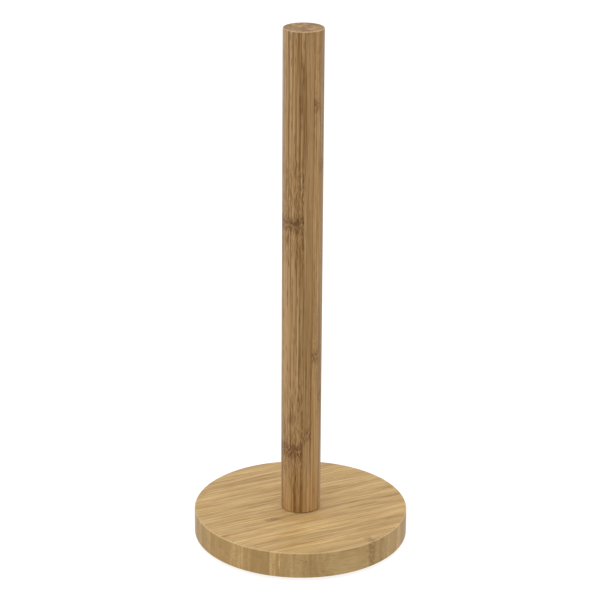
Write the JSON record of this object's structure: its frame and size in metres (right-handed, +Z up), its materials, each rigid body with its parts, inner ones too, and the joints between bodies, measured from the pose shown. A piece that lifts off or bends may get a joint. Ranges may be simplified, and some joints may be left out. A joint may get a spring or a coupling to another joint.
{
  "type": "paper towel holder",
  "caption": "Free-standing paper towel holder: a plain round laminated-bamboo post screwed upright to the middle of a round laminated-bamboo base with anti-slip pads.",
  "frame": {"origin": "on the post's axis, in the plane of the pads' undersides, which is the surface the holder stands on", "axes": "+Z up along the post, +X along the grain of the base's strips, so the strips are counted along +Y"},
  "size_m": [0.135, 0.135, 0.33],
  "materials": {
    "base_bamboo": "edge-glued bamboo strips, sanded, clear satin oil",
    "post_bamboo": "face-glued caramel bamboo strips, turned and sanded, clear satin oil",
    "screw_steel": "zinc-plated wood screw",
    "washer_steel": "zinc-plated pressed washer",
    "pad_rubber": "matt EVA rubber with a cut edge"
  },
  "bodies": {
    "root": {"base_strip_01": "base_bamboo", "base_strip_02": "base_bamboo", "base_strip_03": "base_bamboo", "base_strip_04": "base_bamboo", "base_strip_05": "base_bamboo", "base_strip_06": "base_bamboo", "base_strip_07": "base_bamboo", "base_strip_08": "base_bamboo", "base_strip_09": "base_bamboo", "base_strip_10": "base_bamboo", "base_strip_11": "base_bamboo", "base_strip_12": "base_bamboo", "base_strip_13": "base_bamboo", "base_strip_14": "base_bamboo", "base_strip_15": "base_bamboo", "base_strip_16": "base_bamboo", "base_strip_17": "base_bamboo", "base_strip_18": "base_bamboo", "base_strip_19": "base_bamboo", "base_strip_20": "base_bamboo", "base_strip_21": "base_bamboo", "base_strip_22": "base_bamboo", "base_strip_23": "base_bamboo", "base_strip_24": "base_bamboo", "base_strip_25": "base_bamboo", "base_strip_26": "base_bamboo", "base_strip_27": "base_bamboo", "base_strip_28": "base_bamboo", "base_strip_29": "base_bamboo", "base_strip_30": "base_bamboo", "post_strip_1": "post_bamboo", "post_strip_2": "post_bamboo", "post_strip_3": "post_bamboo", "post_strip_4": "post_bamboo", "post_strip_5": "post_bamboo", "fixing_screw": "screw_steel", "washer": "washer_steel", "pad_front_right": "pad_rubber", "pad_back_right": "pad_rubber", "pad_back_left": "pad_rubber", "pad_front_left": "pad_rubber"}
  },
  "joints": []
}
